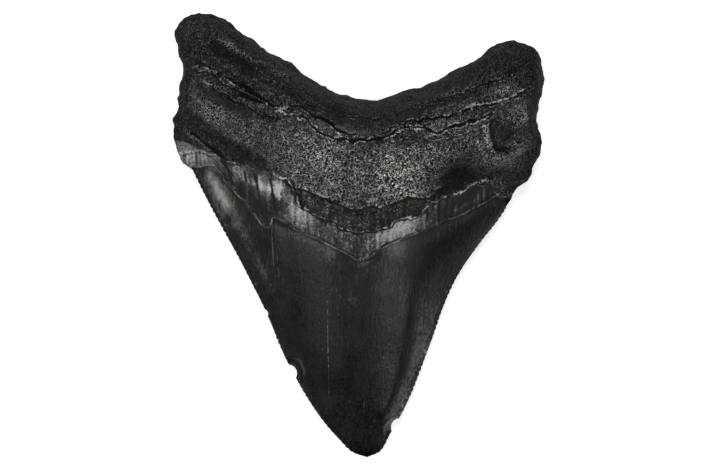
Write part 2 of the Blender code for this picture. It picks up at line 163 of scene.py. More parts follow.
# The lines and marks on the tooth. A line's bends come from noise: each is (length, width, seed).
marks = {
    "enamel": [
        (-30.0, 12.0), (-25.8, 10.6), (-23.0, 10.9), (-20.3, 7.9), (-17.3, 4.9), (-13.9, 1.3), (-13.3, 2.8),
        (-9.4, 0.8), (-6.3, -0.5), (-2.4, -2.4), (0.5, -3.7), (3.2, -2.0), (8.6, 0.4), (10.6, 1.1),
        (13.3, 2.5), (15.0, 3.0), (17.7, 4.4), (20.4, 5.8), (21.9, 6.8), (26.0, 6.0),
    ],
    "enamelBends": [(0.9, 0.10, 0.0)],
    "outerEnamel": [
        (-30.0, 10.5), (-20.0, 12.8), (-8.0, 11.0), (0.0, 9.6), (9.0, 11.0), (19.0, 12.2), (27.0, 6.5),
    ],
    "crust": [
        (-28.0, 12.6), (-24.5, 13.0), (-20.3, 11.4), (-15.5, 9.9), (-11.0, 8.2), (-9.4, 5.0), (-7.4, 3.4),
        (-4.0, 2.0), (-0.9, 0.6), (2.0, 0.8), (4.8, 1.6), (7.0, 2.9), (9.1, 3.4), (12.0, 5.6), (15.0, 6.1),
        (18.4, 7.6), (20.0, 8.1), (20.6, 6.7), (22.6, 6.0), (26.5, 5.0),
    ],
    "crustBends": [(1.8, 0.5, 3.0), (0.6, 0.25, 9.0)],
    "flakes": [
        (-12.0, 8.5), (-9.4, 7.0), (-8.5, 7.0), (-7.4, 6.6), (-5.4, 5.6), (-3.8, 5.0), (-1.8, 4.1),
        (0.2, 3.9), (1.4, 4.4), (3.8, 4.5), (4.7, 4.8), (7.2, 5.7), (10.3, 6.1), (13.0, 8.0),
    ],
    "flakeBends": [(1.5, 0.4, 5.0), (0.6, 0.15, 9.0)],
    "smoothShoulder": [
        (-30.0, 15.0), (-28.2, 14.8), (-26.2, 14.3), (-23.8, 12.7), (-21.6, 11.9), (-12.0, 5.0),
    ],
    "shoulderFade": 0.6,
    "soft": 0.1,  # half the width over which a step climbs
    "fade": 0.3,  # over which one finish turns into the next
    "clearOfRim": (0.3, 2.0),  # marks fade in between these distances from the root's outline
    "clearOfEdge": (0.0, 1.0),  # and from the cutting edges
    "outerClearOfRim": (0.5, 2.0),

    # steps up or down at a line; and ridges, painted highlights and painted shade beside it: (distance,
    # width, amount)
    "enamelStep": 0.12,
    "enamelLip": (-0.12, 0.12, 0.04),
    "enamelGlint": (-0.08, 0.10, 0.7),
    "enamelShade": (0.12, 0.12, -0.4),
    "lipPatches": (0.6, 1.6, 1.5, 15.0),  # where the enamel lip's painted highlight and shade show: average, variation, length and seed
    "lipMost": 1.2,
    "lipStart": (-23.0, -20.5),  # it starts here along X
    "crustStep": 0.35,
    # how bold the crust's edge is at these places along X, and how bold it has to be for the flakes on it
    # to be dark and wrinkled
    "crustBoldness": ((-13.0, -10.0, 11.5, 14.0), (0.3, 1.0, 1.0, 0.6)),
    "flakyBoldness": 0.7,
    # painted shade and painted highlights along the crust's edge, the highlights in patches
    "crustShade": (-0.12, 0.15, -0.9),
    "crustGlint": (0.15, 0.12, 1.0),
    "crustPatches": (0.5, 1.4, 0.7, 25.0),
    "bourletteRise": 3.0,  # how far above the crust's edge its sunk face is level again
    "flakeStep": 0.25,
    "flakeFade": (0.3, 1.0),  # how far above the crust's edge the flakes' step is gone and full
    "flakeShade": (-0.1, 0.15, -0.8),
    "flakeGlint": (0.15, 0.12, 0.4),
    "flakeTintFade": (0.2, 0.8),
    "wrinkles": (0.5, 3.0, 0.09),  # their width, length and height
    "wrinkleSeed": 11.0,
    # painted light on the wrinkles' crests and painted shade between them
    "wrinklePaintedShading": 0.35,
    # where the wrinkles are higher: (x, y, radius, amount)
    "wrinkled": [
        (12.5, 5.0, 1.8, 3.0), (17.5, 6.0, 2.2, 1.5), (-26.0, 13.0, 2.0, 2.5), (-15.0, 7.0, 2.0, 0.4),
    ],
    "flakeWrinkles": (1.5, 0.3, -0.15),  # on the flakes: how much higher, their painted light and shade, and the flakes' own tone

    # the grooves on the root, painted dark as shade, each with its width, its depth, and the lips below and
    # above it, which are raised and painted light as highlights
    "grooves": [
        ([
            (-25.5, 26.1), (-24.3, 26.5), (-22.5, 25.4), (-20.3, 24.1), (-18.0, 22.9), (-16.3, 21.9),
            (-14.8, 20.9), (-13.0, 19.7), (-11.3, 19.5), (-9.6, 19.7), (-8.1, 18.9), (-6.8, 17.9),
            (-5.3, 17.4), (-4.1, 16.9), (-2.6, 15.4), (-0.4, 15.4),
        ], 0.28, 0.40, 1.0, 0.4),
        ([(-25.0, 24.9), (-23.8, 25.2), (-20.8, 23.2), (-17.3, 21.4), (-14.5, 19.9)], 0.22, 0.30, 0.3, 0.9),
        ([
            (-12.8, 19.2), (-11.3, 18.7), (-9.1, 18.2), (-7.8, 17.2), (-6.6, 15.9), (-4.3, 14.9),
            (-1.3, 14.2), (0.9, 14.4), (3.8, 14.8), (6.0, 15.8), (7.6, 16.2), (9.1, 16.3), (10.8, 15.5),
            (12.6, 15.8), (14.3, 16.6), (16.2, 16.9), (18.2, 17.8), (20.2, 18.3),
        ], 0.30, 0.40, 1.4, 1.0),
        ([
            (3.8, 15.6), (6.0, 16.7), (7.6, 17.3), (9.5, 17.3), (11.2, 17.8), (13.2, 17.8), (15.7, 18.8),
            (17.9, 19.7), (19.9, 19.8), (22.0, 20.5), (23.4, 20.9), (25.4, 22.1),
        ], 0.28, 0.40, 0.6, 1.5),
        ([(-24.0, 23.6), (-21.0, 21.7), (-17.8, 19.9), (-14.0, 18.2), (-10.5, 17.0)], 0.20, 0.20, 0.3, 0.8),
        ([(4.5, 13.6), (8.5, 14.7), (12.0, 14.2), (15.5, 15.2), (19.5, 16.6)], 0.20, 0.20, 0.2, 0.8),
        ([(-19.5, 27.0), (-14.5, 24.2), (-8.5, 20.9), (-2.0, 18.0), (4.0, 17.9)], 0.20, 0.15, 0.3, 0.3),
        ([(6.0, 19.4), (13.0, 20.8), (20.0, 23.3), (25.0, 25.0)], 0.20, 0.15, 0.3, 0.3),
    ],
    "lineBends": [(1.3, 0.4, 0.0), (0.55, 0.16, 19.0)],
    "groovePatches": (1.0, 0.9, 1.6, 7.0),  # how deep they are: average, variation, length and seed
    "groovePaintedShading": -2.0,  # painted shade, for each millimetre of depth
    "grooveCalm": (0.9, 2.0),  # how far the pits stay clear of a groove, and how that fades in from its ends
    "grooveLip": (0.11, 0.12, 0.8, 1.2),  # width, height, painted highlight, and the most that the highlight grows to
    "lipGaps": (0.7, 17.0, -0.45, 0.1),  # where a lip is broken: length, seed, the noise at gone and whole
    "lipKeepsOff": 0.5,  # a later groove's lips stop this far from an earlier groove

    # broad troughs and ridges, each with its width, its height, and how much lighter it is painted: painted
    # highlights on the ridges, the left flank's swell among them, and painted shade in the troughs
    "strokes": [
        ([(-24.2, 11.2), (-23.2, 9.0), (-21.3, 5.4), (-19.9, 2.6)], 1.15, 0.45, 0.85),
        ([(-20.2, 4.2), (-17.6, -0.6), (-14.8, -5.8), (-12.8, -10.5)], 1.2, 0.10, 0.28),
        ([(-25.5, 18.6), (-21.5, 14.4), (-17.7, 11.9), (-13.5, 9.9)], 0.9, -0.40, -0.14),
        ([(-25.7, 24.1), (-22.7, 21.1), (-19.5, 19.8), (-16.0, 17.6)], 0.9, -0.35, -0.25),
        ([(-22.1, 30.6), (-18.0, 28.2), (-15.2, 26.4), (-10.3, 23.9)], 0.5, 0.25, 0.20),
        ([(-23.0, 29.4), (-19.0, 27.2), (-15.5, 25.0)], 0.8, -0.35, -0.25),
        ([(20.6, 18.0), (20.1, 15.6), (20.9, 13.5), (23.2, 12.9)], 0.35, -0.25, -0.45),
        ([(19.8, 17.4), (19.3, 15.2), (20.3, 12.8)], 0.35, 0.18, 0.30),
        ([(12.6, 5.9), (15.6, 6.6), (18.0, 8.0), (20.4, 8.6)], 0.28, 0.15, 0.8),
        ([(13.5, 3.6), (17.0, 5.2), (19.6, 6.6)], 0.35, 0.10, 0.35),
        ([(-19.0, 9.6), (-16.4, 8.0), (-13.6, 7.2), (-11.6, 5.4)], 0.45, 0.10, 0.30),
        ([(-20.8, 9.4), (-17.6, 6.0), (-14.6, 3.4)], 0.40, -0.10, -0.25),
        ([(-26.4, 16.2), (-24.5, 14.6), (-21.7, 11.6), (-20.6, 10.4)], 0.35, 0.12, 0.35),
        ([(21.0, 24.5), (13.5, 21.8), (9.0, 20.0)], 0.6, 0.20, 0.15),
    ],
    # the cracks in the bourlette, each with its width and its depth
    "cracks": [
        ([(-25.6, 16.0), (-23.4, 13.9), (-21.2, 12.3), (-20.0, 9.5), (-19.6, 7.8)], 0.32, 0.15),
        ([(-22.3, 13.3), (-20.9, 11.2), (-19.4, 9.3)], 0.25, 0.10),
        ([(-17.7, 9.9), (-17.4, 8.2)], 0.28, 0.10), ([(-16.3, 9.7), (-15.5, 7.5), (-15.4, 4.6)], 0.32, 0.12),
        ([(-13.6, 8.9), (-13.2, 6.7), (-12.7, 4.0)], 0.32, 0.12),
        ([(-10.2, 8.4), (-9.3, 6.2), (-8.5, 4.2)], 0.32, 0.12),
        ([(-17.0, 6.6), (-15.0, 4.4), (-13.4, 3.4)], 0.28, 0.08), ([(12.0, 5.4), (12.2, 2.2)], 0.25, 0.08),
        ([(10.0, 4.6), (10.4, 2.4)], 0.25, 0.08), ([(14.0, 6.0), (14.2, 3.0)], 0.25, 0.08),
        ([(19.9, 9.0), (19.8, 5.6)], 0.35, 0.15),
    ],
    "crackBends": [(1.3, 0.12, 0.0), (0.55, 0.048, 19.0)],
    "crackTint": -0.9,
    # round hollows and knobs: middle, radius, depth
    "hollows": [
        ((22.1, 15.3), 1.7, 0.6), ((15.1, 10.0), 3.2, 0.6), ((10.7, 16.2), 0.9, -0.3),
        ((-3.0, 18.6), 1.2, 0.3), ((21.9, 7.4), 1.2, -0.5), ((-27.0, 13.0), 1.3, -0.35),
    ],
    "hollowPaintedShading": -0.5,  # painted shade in a hollow, and painted light on a knob, for each millimetre of depth

    # a fault in the enamel: how much higher its right side stands, how far it fades over, and its edge
    "fault": ([(-13.5, 2.9), (-13.4, -1.0), (-13.2, -5.5)], 0.22, 2.5, 0.08),
    # straight scratches and hairline cracks down the enamel, each with its two ends, its depth and its tint
    "scratches": [
        ((-13.4, 2.6), (-13.3, -4.6), 0.05, 0.5), ((-12.7, -2.6), (-12.2, -9.6), 0.04, 0.4),
        ((-8.7, -5.0), (-8.6, -13.4), 0.03, 0.2), ((-4.95, -10.2), (-4.7, -24.9), 0.05, 0.6),
        ((0.95, -23.4), (0.6, -27.3), 0.05, 0.5), ((12.0, 2.2), (12.1, -3.8), 0.05, 0.4),
        ((13.8, 2.6), (13.8, -2.0), 0.05, 0.35), ((14.9, 2.4), (14.8, 0.2), 0.05, 0.35),
        ((-16.6, -7.0), (-12.9, -15.5), 0.03, 0.2), ((6.3, -4.0), (6.2, -12.0), 0.03, 0.15),
    ],
    "scratchWidth": 0.12,
    "scratchSoft": 0.6,  # its falloff, as a share of that width
    "scratchPatches": (0.7, 1.2, 0.6, 33.0),
    # where enamel and bourlette are lighter or darker, partly their own tone and partly painted highlights,
    # painted sheen and painted shade: (x, y, radius, amount)
    "enamelTonesAndPaintedLight": [
        (-1.0, -5.0, 7.0, 0.12), (6.5, -8.0, 2.5, 0.2), (6.0, -14.0, 2.0, 0.15), (-14.5, -1.0, 1.5, -0.3),
        (-12.0, -16.0, 4.0, -0.15), (-7.0, -22.0, 4.0, -0.15), (1.0, -31.0, 4.0, 0.08),
        (14.5, -1.5, 3.0, -0.2), (-5.2, -17.0, 2.0, 0.1), (-1.6, -18.0, 2.0, 0.08), (5.5, -1.6, 2.2, 0.4),
        (-5.0, -2.4, 1.6, 0.25), (-11.5, -13.0, 2.5, -0.2), (-12.5, -10.0, 2.5, -0.15),
    ],
    "bourletteTonesAndPaintedSheen": [
        (-18.9, 10.0, 1.0, 0.05), (-14.8, 7.8, 1.0, 0.15), (-12.4, 7.4, 1.5, 0.50), (-9.0, 3.4, 2.0, 0.40),
        (6.0, 1.3, 2.2, 0.45), (8.3, 2.0, 1.5, 0.3), (-14.9, 3.6, 1.7, -0.35), (-17.5, 6.5, 1.5, -0.2),
        (0.5, -1.6, 1.6, 0.1), (-4.0, 0.2, 1.6, 0.05), (13.0, 4.2, 2.2, -0.4), (17.5, 6.0, 2.6, -0.55),
        (21.5, 7.6, 2.0, -0.6), (15.0, 5.0, 3.5, -0.25), (-21.5, 10.4, 1.5, -0.2), (-12.5, 4.5, 1.5, -0.25),
        (-26.3, 12.9, 1.5, 0.30), (-24.0, 12.2, 1.0, 0.05), (-16.0, 4.5, 1.5, -0.3), (3.4, -0.4, 1.8, 0.3),
    ],
    # the facet's painted reflection: how light it is painted at two places down the crown, and how it fades
    # at its border, its top and its foot
    "facetPaintedReflection": ((8.0, 18.0), (0.14, 0.40)),
    "facetBorder": (-0.6, 1.0),
    "facetTop": (4.0, 9.0),
    "facetFoot": (-29.5, -27.5),
    "facetShade": (-0.9, 0.7, -0.2),  # the dark line along its border
    "rimBand": (0.55, 0.75),  # the darker, serrated rim: where it starts to fade, and ends
    "rimDarkeningAndGlints": (-0.3, 1.2, 0.5, 31.0),  # its darker tint, how much lighter its specks are painted as glints on the serrations, their length and seed
    "leftShade": (1.3, 0.5, -0.25),  # the dark line along the left edge
    "leftShadeFrom": (4.0, 8.0),  # how far to the left of X = 0 it starts, and is full
    "scarDepth": 0.35,
    "scarEdge": (-0.35, 0.0),  # it rises to the face between these distances from its border
    "scarRagged": (0.25, 1.1, 21.0),  # width, length and seed of the bends in a scar's border
    "scarTintEdge": (-0.5, -0.3),
    "scarBorder": (-0.05, 0.10, 0.35),  # the painted highlight round its rim
}

mesh = {
    "rootOutline": 0.2,  # spacing of the points along the root's outline
    "serrationPoints": 6,  # along each serration
    "rootGrid": 0.17,
    "crownGrid": 0.27,
    "outerGrid": 0.5,
    "gridGap": 0.62,  # how near points may lie to each other, as a share of the grid's spacing
    "seamOverlap": 0.6,  # how far the root's finer grid reaches below the enamel line
    "crownRings": (0.12, 0.32),  # rows just inside the outline
    "rootRings": (0.03, 0.12, 0.28, 0.5),
    "ringGap": 0.7,  # as a share of a ring's distance from the outline, or of a scratch's width
    "scratchRows": (0, -1, 1, -2, 2),  # rows beside each scratch
    "lineStep": 0.5,  # spacing of the points along a curved line
    "lineSamples": 8,  # to each such step, while the curve is worked out
    "leastDistance": 1e-6,  # so that no share is worked out from 0 / 0
}


def evenly(line, step):  # the line again, with its points at even steps
    along = np.r_[0, np.cumsum(np.linalg.norm(np.diff(line, axis=0), axis=1))]
    stations = np.linspace(0, along[-1], max(2, round(along[-1] / step) + 1))
    return np.stack([np.interp(stations, along, axis) for axis in line.T], axis=1)


def curveThrough(points, step=mesh["lineStep"]):  # a smooth curve, with its points at even steps
    points = np.array(points, float)
    knots = np.r_[0, np.cumsum(np.linalg.norm(np.diff(points, axis=0), axis=1))]
    slopes = np.gradient(points, knots, axis=0)
    stations = np.linspace(0, knots[-1], int(knots[-1] / step) * mesh["lineSamples"])
    left = np.clip(np.searchsorted(knots, stations, "right") - 1, 0, len(knots) - 2)
    span = (knots[left + 1] - knots[left])[:, None]
    u = (stations - knots[left])[:, None] / span
    places = (1 + 2 * u) * (1 - u) ** 2 * points[left] + u**2 * (3 - 2 * u) * points[left + 1]
    bends = u * (1 - u) ** 2 * slopes[left] + u**2 * (u - 1) * slopes[left + 1]
    return evenly(places + span * bends, step)


def nearest(points, line):  # distance to the line, above zero on its left side
    best = np.full(len(points), np.inf)
    side = np.ones(len(points))
    for start, run in zip(line[:-1], np.diff(line, axis=0)):
        offset = points - start
        gap = offset - np.clip(offset @ run / (run @ run), 0, 1)[:, None] * run
        distance = np.hypot(*gap.T)
        closer = distance < best
        best[closer] = distance[closer]
        side[closer] = np.sign(run[0] * offset[closer, 1] - run[1] * offset[closer, 0])
    return best * side


def smoothStep(values, low, high):
    share = np.clip((values - low) / (high - low), 0, 1)
    return share * share * (3 - 2 * share)


def rounded(share, power):  # steep at 0 and level at 1: a quarter circle at power 2
    return (1 - (1 - np.clip(share, 0, 1)) ** power) ** (1 / power)


def bump(distance, width):  # 1 on a line, and fading to 0 on both its sides
    return np.exp(-((distance / width) ** 2))


def beside(distance, look):  # a soft line that runs beside another one
    offset, width, amount = look
    return amount * bump(distance - offset, width)


def spread(points, spots):  # a soft field that is highest at the spots: (x, y, radius, amount)
    return sum(amount * bump(np.hypot(*(points - (x, y)).T), radius) for x, y, radius, amount in spots)


def surfaceThrough(spots, points):  # a thin plate bent through the spots
    spots = np.array(spots, float)
    places, heights = spots[:, :2], spots[:, 2]

    def bend(here):
        squared = ((here[:, None] - places) ** 2).sum(axis=2)
        return squared * np.log(np.maximum(squared, 1e-12))  # the logarithm of 0 is kept out

    def plane(here):
        return np.c_[np.ones(len(here)), here]

    system = np.block([[bend(places), plane(places)], [plane(places).T, np.zeros((3, 3))]])
    weights = np.linalg.solve(system, np.r_[heights, 0, 0, 0])
    return np.hstack([bend(points), plane(points)]) @ weights


def outwardOf(line):  # the way to the right of the line, which leads out of the tooth on its outline
    run = np.gradient(line, axis=0)
    return np.c_[run[:, 1], -run[:, 0]] / np.hypot(*run.T)[:, None]


def unevenness(points, length, seed=0.0):  # smooth noise, about -1 to 1, with lumps of that length
    scaled = points / length
    if points.shape[1] == 2:
        scaled = np.c_[scaled, np.full(len(points), seed)]
    return np.array([noise.noise(place) for place in scaled.tolist()])


def patchy(points, look):  # noise round an average
    average, variation, length, seed = look
    return average + variation * unevenness(points, length, seed)


def bent(points, bends):  # the points pushed about sideways, which makes lines ragged
    for length, width, seed in bends:
        shift = [unevenness(points, length, own) for own in (seed, seed + 40.5)]  # X and Y have a seed each
        points = points + width * np.stack(shift, axis=1)
    return points


def serrated(edge):  # rounded teeth with sharp valleys between them, which stop at a bite
    steps = mesh["serrationPoints"]
    edge = evenly(edge, outline["serrationPitch"] / steps)
    wave = np.abs(np.sin(np.arange(len(edge)) * math.pi / steps)) - 0.5
    for middle, radius, *_ in outline["chips"]:
        wave *= smoothStep(np.hypot(*(edge - middle).T), radius, radius + outline["serrationPitch"])
    wave *= np.maximum(patchy(edge, outline["serrationWear"]), 0)
    wave[[0, -1]] = 0
    return edge + outline["serrationDepth"] * wave[:, None] * outwardOf(edge)


def chipped(line):  # the outline with the bites taken out of it
    line = line.copy()
    length, width = outline["chipRagged"]
    for middle, radius, *_ in outline["chips"]:
        offset = line - middle
        distance = np.hypot(*offset.T) + width * unevenness(line, length)
        bitten = distance < radius
        inward = -outwardOf(line)[bitten].mean(axis=0)
        reach = offset[bitten] - (offset[bitten] @ inward)[:, None] * inward
        depth = np.sqrt(np.maximum(radius**2 - (reach**2).sum(axis=1), 0))
        line[bitten] = middle + reach + depth[:, None] * inward
    return line


edges = [curveThrough(outline[name]) for name in ("rightEdge", "leftEdge")]
sides = [curveThrough(outline[name]) for name in ("rightSide", "leftSide")]
arch = curveThrough(outline["arch"])


def outlinePoints():
    rightEdge, leftEdge = (serrated(edge) for edge in edges)
    rootLines = [evenly(line, mesh["rootOutline"]) for line in (sides[0], arch, sides[1])]
    runs = [line[:-1] for line in (rightEdge, *rootLines, leftEdge)]
    line = chipped(np.concatenate(runs))
    lastRun = len(runs) - 1
    isRoot = np.concatenate([np.full(len(run), 0 < place < lastRun) for place, run in enumerate(runs)])
    outward = outwardOf(line)
    ripple = sum(width * unevenness(line, length) for length, width in outline["rootRipples"])
    return line + (ripple * isRoot)[:, None] * outward, isRoot, outward


def inside(points, line):  # whether a ray from each point crosses the closed line an odd number of times
    crossings = np.zeros(len(points), int)
    for (x0, y0), (x1, y1) in zip(line, np.roll(line, -1, axis=0)):
        if y0 != y1:
            spans = (points[:, 1] > min(y0, y1)) & (points[:, 1] <= max(y0, y1))
            crossings += spans & (points[:, 0] < x0 + (points[:, 1] - y0) * (x1 - x0) / (y1 - y0))
    return crossings % 2 == 1


def grid(line, spacing):  # points in even triangles, every other row half a step aside
    low, high = line.min(axis=0), line.max(axis=0)
    rows = np.arange(low[1], high[1], spacing * math.sqrt(0.75))
    columns = np.arange(low[0], high[0], spacing)
    points = [np.c_[columns + row % 2 * spacing / 2, np.full(len(columns), y)] for row, y in enumerate(rows)]
    return np.concatenate(points)


def keptApart(taken, points, gap):  # the points that keep a gap to those taken and to each other
    tree = kdtree.KDTree(len(taken))
    for place, point in enumerate(taken):
        tree.insert((*point, 0), place)
    tree.balance()
    free = [point for point in points.tolist() if tree.find((*point, 0))[2] >= gap]
    bins, kept = {}, []
    for x, y in free:
        home = (int(x // gap), int(y // gap))
        around = [(home[0] + i, home[1] + j) for i in (-1, 0, 1) for j in (-1, 0, 1)]
        if all((x - a) ** 2 + (y - b) ** 2 >= gap * gap for bin in around for a, b in bins.get(bin, ())):
            bins.setdefault(home, []).append((x, y))
            kept.append((x, y))
    return np.concatenate([taken, np.array(kept).reshape(-1, 2)])


def flatSheet(line, isRoot, outward, rootSpacing, crownSpacing):  # a sheet of triangles inside the outline
    points = line
    for rings, chosen in ((mesh["crownRings"], ~isRoot), (mesh["rootRings"], isRoot)):
        for distance in rings:
            ring = line[chosen] - distance * outward[chosen]
            points = keptApart(points, ring[inside(ring, line)], mesh["ringGap"] * distance)
    width = marks["scratchWidth"]
    for start, end, *_ in marks["scratches"]:
        middle = evenly(np.array([start, end]), 2 * width)
        for aside in mesh["scratchRows"]:
            points = keptApart(points, middle + [aside * width, 0], mesh["ringGap"] * width)
    seam = curveThrough(marks["enamel"])
    for spacing, side in ((rootSpacing, 1), (crownSpacing, -1)):
        rows = grid(line, spacing)
        rows = rows[nearest(rows, seam) * side > -side * mesh["seamOverlap"]]
        points = keptApart(points, rows[inside(rows, line)], mesh["gridGap"] * spacing)
    border = [list(range(len(line)))]
    found = delaunay_2d_cdt([Vector(point) for point in points], [], border, 1, 1e-9)  # 1: inside it alone
    return points, found[2]


def lieOf(points):  # the distances that the heights are worked out from, none of them quite 0
    right, left = (np.abs(nearest(points, edge)) + mesh["leastDistance"] for edge in edges)
    side = np.minimum(*(np.abs(nearest(points, line)) for line in sides)) + mesh["leastDistance"]
    over = np.abs(nearest(points, arch)) + mesh["leastDistance"]
    enamel = nearest(points, curveThrough(marks["enamel"]))
    rise = smoothStep(enamel, *root["edgeBlend"])
    return {
        "crown": 4 * left * right / (left + right) ** 2,  # 0 on the cutting edges, 1 midway between
        "edge": np.minimum(left, right),
        "right": right,
        "across": left / (left + right),  # 0 on the left edge, 1 on the right one
        "rim": (side**-4 + over**-4) ** -0.25,  # the nearer of side and arch, rounded where they meet
        "over": over,
        "archShare": side / (side + over),
        "enamel": enamel,
        "outerEnamel": nearest(points, curveThrough(marks["outerEnamel"])),
        "base": crown["edgeHeight"] + (root["edgeHeight"] - crown["edgeHeight"]) * rise,
    }


def crownHeight(points, lie):  # of the inner face: an arched ridge between the edges, with the facet cut off
    share = np.maximum(points[:, 1] - outline["tip"][1], 0) / (crown["base"][1] - outline["tip"][1])
    flanks = (crown["leftFlank"], crown["rightFlank"])
    leftPower, rightPower = (np.interp(share, crown["flankReach"], powers) for powers in flanks)
    power = leftPower + (rightPower - leftPower) * smoothStep(lie["across"], *crown["flankChange"])
    bend, level = crown["arching"]
    arched = (1 - np.maximum(1 - share / level, 0) ** bend) / (1 - (1 - 1 / level) ** bend)
    dome = crown["rise"] * arched * lie["crown"] ** power
    dome += crown["bevelRise"] * smoothStep(lie["edge"], 0, crown["bevelWidth"])
    width, lift = crown["facetLift"]
    full = dome + lift * bump(nearest(points, curveThrough(crown["facet"])), width)
    soft = crown["facetSoft"]
    cut = -soft * np.logaddexp(-full / soft, -crown["facetSlope"] * lie["right"] / soft)
    share = smoothStep(-points[:, 1], *crown["facetDown"]) * smoothStep(points[:, 0], *crown["facetAcross"])
    return crown["edgeHeight"] + dome + (cut - dome) * share


def outerHeight(points, lie):  # of the face on the table
    isRoot = smoothStep(lie["enamel"], *root["outerBlend"])
    swell = rounded(lie["rim"] / root["outerRounding"], root["roundPower"])
    rise = isRoot * swell + (1 - isRoot) * lie["crown"] ** crown["outerPower"]
    step = smoothStep(lie["outerEnamel"], -2 * marks["soft"], 2 * marks["soft"])
    step *= marks["enamelStep"] * smoothStep(lie["rim"], *marks["outerClearOfRim"])
    return lie["base"] * (1 - rise) + surfaceThrough(root["outer"], points) * rise + step


def innerHeight(points, lie):  # of the smooth inner face: the crown up to the enamel line, the root above it
    crownSide = np.array(marks["enamel"][1:-1])
    seamSpots = np.c_[crownSide, crownHeight(crownSide, lieOf(crownSide))]
    body = surfaceThrough(root["inner"] + seamSpots[::2].tolist(), points)
    isRoot = smoothStep(lie["enamel"], *root["innerBlend"])
    rounding = root["sideRounding"] + (root["archRounding"] - root["sideRounding"]) * lie["archShare"]
    power = root["roundPower"] + (root["archPower"] - root["roundPower"]) * lie["archShare"]
    body = lie["base"] + (body - lie["base"]) * rounded(lie["rim"] / rounding, power)
    return crownHeight(points, lie) * (1 - isRoot) + body * isRoot


def alongLine(points, line, bends):  # distance to the line, above zero over it, and how far from its ends
    curve = curveThrough(line)
    distance = nearest(bent(points, bends), curve)
    ends = np.minimum(*(np.hypot(*(points - end).T) for end in (curve[0], curve[-1])))
    return distance, ends


def bandMarks(points, enamel, crust, flakes, onBourlette):  # the steps, lips and wrinkles of the bands, with the highlights and shade painted beside them
    soft, fade = marks["soft"], marks["fade"]
    bold = np.interp(points[:, 0], *marks["crustBoldness"])
    onFlakes = smoothStep(crust, 0, fade) * (1 - smoothStep(flakes, -soft, soft))
    onFlakes *= bold > marks["flakyBoldness"]

    shape = beside(enamel, marks["enamelLip"]) - marks["enamelStep"] * smoothStep(enamel, -soft, soft)
    shape += marks["crustStep"] * bold * smoothStep(crust, -soft, soft)
    shape += marks["enamelStep"] * smoothStep(crust, 0, marks["bourletteRise"])
    shape += marks["flakeStep"] * smoothStep(flakes, -soft, soft) * smoothStep(crust, *marks["flakeFade"])

    paintedLipLight = np.clip(patchy(points, marks["lipPatches"]), 0, marks["lipMost"])
    paintedLipLight *= smoothStep(points[:, 0], *marks["lipStart"])
    # painted highlight on the enamel lip and painted shade beside it; then the same along the crust's edge
    # and the flakes
    toneAndPaintedLight = (beside(enamel, marks["enamelGlint"]) + beside(enamel, marks["enamelShade"])) * paintedLipLight
    crustGlint = patchy(points, marks["crustPatches"]) * beside(crust, marks["crustGlint"])
    toneAndPaintedLight += (beside(crust, marks["crustShade"]) + crustGlint) * bold
    flakeLine = beside(flakes, marks["flakeShade"]) + beside(flakes, marks["flakeGlint"])
    toneAndPaintedLight += flakeLine * smoothStep(crust, *marks["flakeTintFade"])

    width, length, height = marks["wrinkles"]
    wrinkles = unevenness(points * (1 / width, 1 / length), 1.0, marks["wrinkleSeed"])
    wrinkles *= 1 + spread(points, marks["wrinkled"])
    higher, flakeTint, darker = marks["flakeWrinkles"]
    shape += height * wrinkles * (onBourlette + higher * onFlakes)
    # painted light and shade follow the wrinkles' crests and troughs
    toneAndPaintedLight += marks["wrinklePaintedShading"] * wrinkles * onBourlette + (flakeTint * wrinkles + darker) * onFlakes
    return shape, toneAndPaintedLight


def grooveMarks(points):  # the grooves, painted dark as shade, with their broken lips painted light as highlights, and where the pits keep clear of them
    shape, toneAndPaintedLight, calm = np.zeros((3, len(points)))
    free = np.ones(len(points))
    reach, start = marks["grooveCalm"]
    lipWidth, lipHeight, lipHighlight, most = marks["grooveLip"]
    gapLength, gapSeed, gone, whole = marks["lipGaps"]
    for line, width, depth, below, above in marks["grooves"]:
        distance, ends = alongLine(points, line, marks["lineBends"])
        calm = np.maximum(calm, bump(distance, reach) * smoothStep(ends, 0, start))
        uneven = patchy(points, marks["groovePatches"]) * smoothStep(ends, 0, 2 * width)
        broken = uneven * smoothStep(unevenness(points, gapLength, gapSeed), gone, whole) * free
        free = free * (1 - bump(distance, marks["lipKeepsOff"]))
        cut = depth * bump(distance, width / 2) * uneven
        aside = width / 2 + lipWidth
        lips = (below * bump(distance + aside, lipWidth) + above * bump(distance - aside, lipWidth)) * broken
        shape += lipHeight * lips - cut
        # painted highlights on the lips, and painted shade in the groove
        toneAndPaintedLight += lipHighlight * np.minimum(lips, most) + marks["groovePaintedShading"] * cut
    return shape, toneAndPaintedLight, calm


def strokeMarks(points):  # troughs and ridges with painted shade and highlights, cracks, and hollows and knobs with painted shade and light
    shape, toneAndPaintedLight = np.zeros((2, len(points)))
    for line, width, height, lighter in marks["strokes"]:
        distance, ends = alongLine(points, line, marks["lineBends"])
        stroke = bump(distance, width) * smoothStep(ends, -marks["soft"], 2 * width)
        shape += height * stroke
        # painted highlight on a ridge, painted shade in a trough
        toneAndPaintedLight += lighter * stroke
    for line, width, depth in marks["cracks"]:
        distance, ends = alongLine(points, line, marks["crackBends"])
        crack = bump(distance, width / 2) * smoothStep(ends, -marks["soft"], width)
        shape -= depth * crack
        toneAndPaintedLight += marks["crackTint"] * crack
    for middle, radius, depth in marks["hollows"]:
        hollow = depth * bump(np.hypot(*(points - middle).T), radius)
        shape -= hollow
        # painted shade in a hollow, painted light on a knob
        toneAndPaintedLight += marks["hollowPaintedShading"] * hollow
    return shape, toneAndPaintedLight


